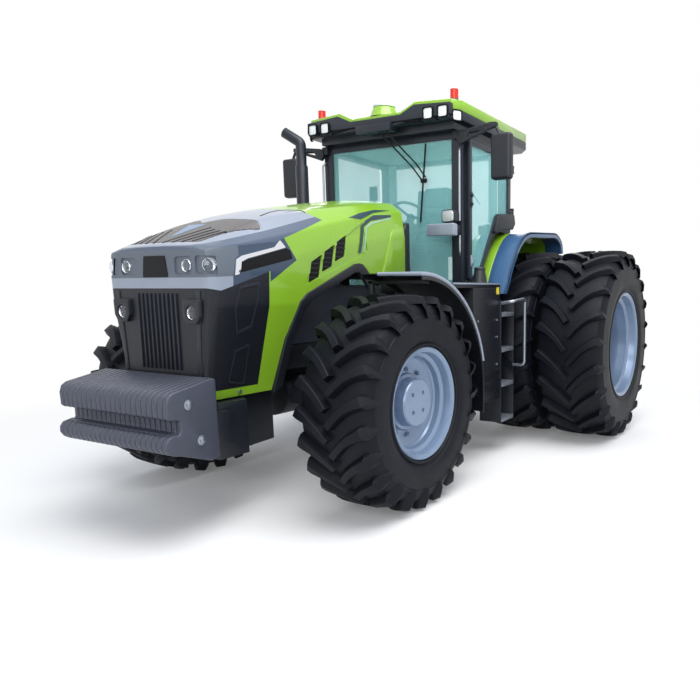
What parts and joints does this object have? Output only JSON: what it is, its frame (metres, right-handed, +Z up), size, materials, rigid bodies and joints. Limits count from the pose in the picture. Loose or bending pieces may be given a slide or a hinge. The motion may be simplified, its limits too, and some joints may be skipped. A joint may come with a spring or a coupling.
{
  "type": "farm tractor",
  "caption": "Large four-wheel-drive farm tractor with twin rear wheels, steered front wheels, cab, opening hood and door, rear lift linkage and front weights.",
  "frame": {"origin": "on the ground, midway between the front weights' faces and the lower links' ends, on the middle plane", "axes": "+X forward, +Y to the tractor's left, +Z up"},
  "size_m": [5.7359, 4.06, 3.4016],
  "materials": {
    "chassis_grey": "satin grey paint",
    "steel": "bare steel",
    "engine_grey": "satin",
    "weight_iron": "graphite paint, brightened on the noses",
    "dark_plastic": "moulded blue-grey plastic",
    "rim_silver": "silver-grey paint",
    "tyre": "clean black rubber",
    "green_paint": "glossy lime green",
    "flare_paint": "satin blue-grey",
    "light_grey_paint": "glossy light grey",
    "dark_gloss": "gloss black",
    "dark_paint": "satin black",
    "tinted_glass": "green-tinted safety glass",
    "cab_plastic": "grained dark plastic",
    "seat_fabric": "woven dark fabric",
    "exhaust_steel": "brushed stainless",
    "beacon_amber": "orange-red lens"
  },
  "bodies": {
    "chassis": {"front_axle": "chassis_grey", "front_frame": "chassis_grey", "engine": "engine_grey", "transmission": "chassis_grey", "front_weights": "weight_iron", "rear_fenders": "green_paint", "fender_flares": "flare_paint", "mirrors": "dark_plastic", "side_tanks": "dark_plastic", "cab_frame": "dark_paint", "cab_floor": "dark_paint", "cab_glass": "tinted_glass", "roof_base": "dark_plastic", "roof_skin": "green_paint", "dashboard": "cab_plastic", "steering_wheel": "cab_plastic", "seat": "seat_fabric", "exhaust": "exhaust_steel", "pillar_lamps": "dark_plastic", "ladder": "steel", "beacons": "beacon_amber"},
    "steering_left": {"knuckle_left": "chassis_grey", "front_fender_left": "dark_plastic"},
    "steering_right": {"knuckle_right": "chassis_grey", "front_fender_right": "dark_plastic"},
    "front_wheel_left": {"front_rim_left": "rim_silver", "front_tyre_left": "tyre"},
    "front_wheel_right": {"front_rim_right": "rim_silver", "front_tyre_right": "tyre"},
    "rear_wheels_left": {"rear_rims_left": "rim_silver", "rear_tyres_left": "tyre"},
    "rear_wheels_right": {"rear_rims_right": "rim_silver", "rear_tyres_right": "tyre"},
    "tie_rod": {"tie_rod": "steel"},
    "hood": {"hood_cover": "light_grey_paint", "hood_shell": "green_paint", "hood_nose": "dark_gloss", "hood_grille": "dark_plastic", "arch_trims": "dark_plastic"},
    "door": {"door_frame": "dark_paint", "door_glass": "tinted_glass"},
    "lower_links": {"lower_links": "chassis_grey"},
    "lift_arms": {"lift_arms": "chassis_grey"},
    "lift_rods": {"lift_rods": "steel"},
    "top_link": {"top_link": "steel"}
  },
  "joints": [
    {"name": "steer_left", "type": "hinge", "parent": "chassis", "child": "steering_left", "pos_m": [1.382, 0.8, 0.79], "axis": [0, 0, 1], "range_deg": [-35, 35]},
    {"name": "steer_right", "type": "hinge", "parent": "chassis", "child": "steering_right", "pos_m": [1.382, -0.8, 0.79], "axis": [0, 0, 1], "range_deg": [-35, 35]},
    {"name": "tie_rod_swing", "type": "hinge", "parent": "steering_left", "child": "tie_rod", "pos_m": [1.132, 0.8, 0.746], "axis": [0, 0, 1], "range_deg": [-35, 35]},
    {"name": "front_wheel_left_spin", "type": "hinge", "parent": "steering_left", "child": "front_wheel_left", "pos_m": [1.382, 1.11, 0.79], "axis": [0, 1, 0], "continuous": true},
    {"name": "front_wheel_right_spin", "type": "hinge", "parent": "steering_right", "child": "front_wheel_right", "pos_m": [1.382, -1.11, 0.79], "axis": [0, 1, 0], "continuous": true},
    {"name": "rear_wheels_left_spin", "type": "hinge", "parent": "chassis", "child": "rear_wheels_left", "pos_m": [-1.618, 1.31, 1.01], "axis": [0, 1, 0], "continuous": true},
    {"name": "rear_wheels_right_spin", "type": "hinge", "parent": "chassis", "child": "rear_wheels_right", "pos_m": [-1.618, -1.31, 1.01], "axis": [0, 1, 0], "continuous": true},
    {"name": "hood_open", "type": "hinge", "parent": "chassis", "child": "hood", "pos_m": [0.362, 0, 2.25], "axis": [0, -1, 0], "range_deg": [0, 50]},
    {"name": "door_open", "type": "hinge", "parent": "chassis", "child": "door", "pos_m": [-1.163, 0.868, 2.64], "axis": [0, 0, 1], "range_deg": [0, 65]},
    {"name": "linkage_lift", "type": "hinge", "parent": "chassis", "child": "lower_links", "pos_m": [-1.918, 0, 0.56], "axis": [0, 1, 0], "range_deg": [-10, 30]},
    {"name": "lift_arm_turn", "type": "hinge", "parent": "chassis", "child": "lift_arms", "pos_m": [-1.868, 0, 1.29], "axis": [0, 1, 0], "range_deg": [-16, 46]},
    {"name": "lift_rod_swing", "type": "hinge", "parent": "lift_arms", "child": "lift_rods", "pos_m": [-2.198, 0, 1.23], "axis": [0, 1, 0], "range_deg": [-46, 16]},
    {"name": "top_link_swing", "type": "hinge", "parent": "chassis", "child": "top_link", "pos_m": [-2.048, 0, 1.01], "axis": [0, 1, 0], "range_deg": [-65, 15]}
  ],
  "couplings": [
    {"joint": "steer_right", "follows": "steer_left", "ratio": 1},
    {"joint": "tie_rod_swing", "follows": "steer_left", "ratio": -1},
    {"joint": "lift_arm_turn", "follows": "linkage_lift", "ratio": 1.51},
    {"joint": "lift_rod_swing", "follows": "linkage_lift", "ratio": -1.51}
  ]
}
